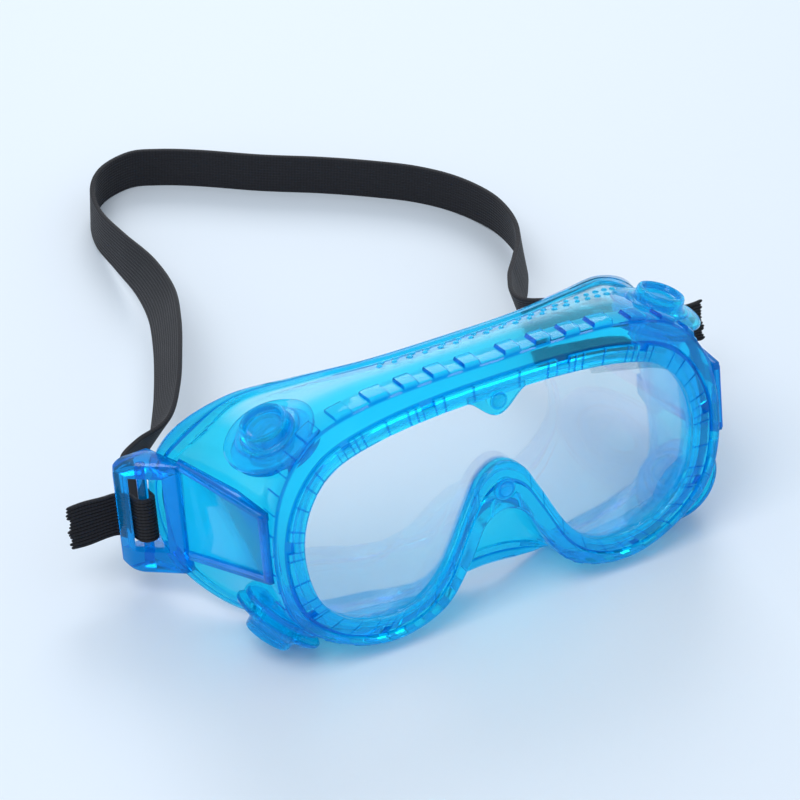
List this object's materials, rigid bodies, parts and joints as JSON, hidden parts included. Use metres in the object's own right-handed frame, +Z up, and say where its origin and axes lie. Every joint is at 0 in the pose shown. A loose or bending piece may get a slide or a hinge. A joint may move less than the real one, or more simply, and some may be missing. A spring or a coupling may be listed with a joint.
{
  "type": "safety goggle",
  "caption": "Chemical splash goggle with a soft clear-blue moulded frame, flat clear lens, indirect vent buttons and an elastic headband.",
  "frame": {"origin": "bridge point on the front face of the lens, midway between the eyes", "axes": "+X to the viewer's right when the goggle faces them, +Y from the lens towards the wearer's face, +Z up with the goggle standing on a table and its lens leaning back 12 degrees"},
  "size_m": [0.21, 0.2403, 0.0783],
  "materials": {
    "pvc": "soft translucent moulded vinyl, glossy",
    "vent": "translucent moulded vinyl, glossy",
    "lens": "clear polycarbonate, polished",
    "elastic": "ribbed woven elastic, matt"
  },
  "bodies": {
    "frame": {"frame_shell": "pvc", "lens": "lens", "top_lens_tab": "pvc", "nose_lens_tab": "pvc", "side_arm_left": "pvc", "side_arm_right": "pvc", "strap_lug_left": "pvc", "strap_lug_right": "pvc", "vent_seat_upper_left": "pvc", "vent_seat_upper_right": "pvc", "vent_seat_lower_left": "pvc", "vent_seat_lower_right": "pvc", "headband_bend_left": "elastic", "headband_bend_right": "elastic", "headband_wrap_left": "elastic", "headband_wrap_right": "elastic"},
    "headband": {"headband_loop": "elastic"},
    "vent_upper_left": {"vent_stem_upper_left": "vent"},
    "cap_upper_left": {"vent_cap_upper_left": "vent"},
    "vent_upper_right": {"vent_stem_upper_right": "vent"},
    "cap_upper_right": {"vent_cap_upper_right": "vent"},
    "vent_lower_left": {"vent_stem_lower_left": "vent"},
    "cap_lower_left": {"vent_cap_lower_left": "vent"},
    "vent_lower_right": {"vent_stem_lower_right": "vent"},
    "cap_lower_right": {"vent_cap_lower_right": "vent"}
  },
  "joints": [
    {"name": "headband_swing", "type": "hinge", "parent": "frame", "child": "headband", "pos_m": [0, 0.054, -0.033], "axis": [1, 0, 0], "range_deg": [-40, 45], "deforming": ["headband_bend_left", "headband_bend_right"]},
    {"name": "vent_turn_upper_left", "type": "hinge", "parent": "frame", "child": "vent_upper_left", "pos_m": [-0.0613, 0.01668, 0.00586], "axis": [-0.3592, 0.0953, 0.9284], "continuous": true},
    {"name": "cap_pull_upper_left", "type": "slide", "parent": "vent_upper_left", "child": "cap_upper_left", "axis": [-0.3592, 0.0953, 0.9284], "range_m": [0, 0.008]},
    {"name": "vent_turn_upper_right", "type": "hinge", "parent": "frame", "child": "vent_upper_right", "pos_m": [0.0613, 0.01668, 0.00586], "axis": [0.3592, 0.0953, 0.9284], "continuous": true},
    {"name": "cap_pull_upper_right", "type": "slide", "parent": "vent_upper_right", "child": "cap_upper_right", "axis": [0.3592, 0.0953, 0.9284], "range_m": [0, 0.008]},
    {"name": "vent_turn_lower_left", "type": "hinge", "parent": "frame", "child": "vent_lower_left", "pos_m": [-0.0641, 0.00502, -0.04421], "axis": [-0.6385, -0.0611, -0.7672], "continuous": true},
    {"name": "cap_pull_lower_left", "type": "slide", "parent": "vent_lower_left", "child": "cap_lower_left", "axis": [-0.6385, -0.0611, -0.7672], "range_m": [0, 0.008]},
    {"name": "vent_turn_lower_right", "type": "hinge", "parent": "frame", "child": "vent_lower_right", "pos_m": [0.0641, 0.00502, -0.04421], "axis": [0.6385, -0.0611, -0.7672], "continuous": true},
    {"name": "cap_pull_lower_right", "type": "slide", "parent": "vent_lower_right", "child": "cap_lower_right", "axis": [0.6385, -0.0611, -0.7672], "range_m": [0, 0.008]}
  ]
}
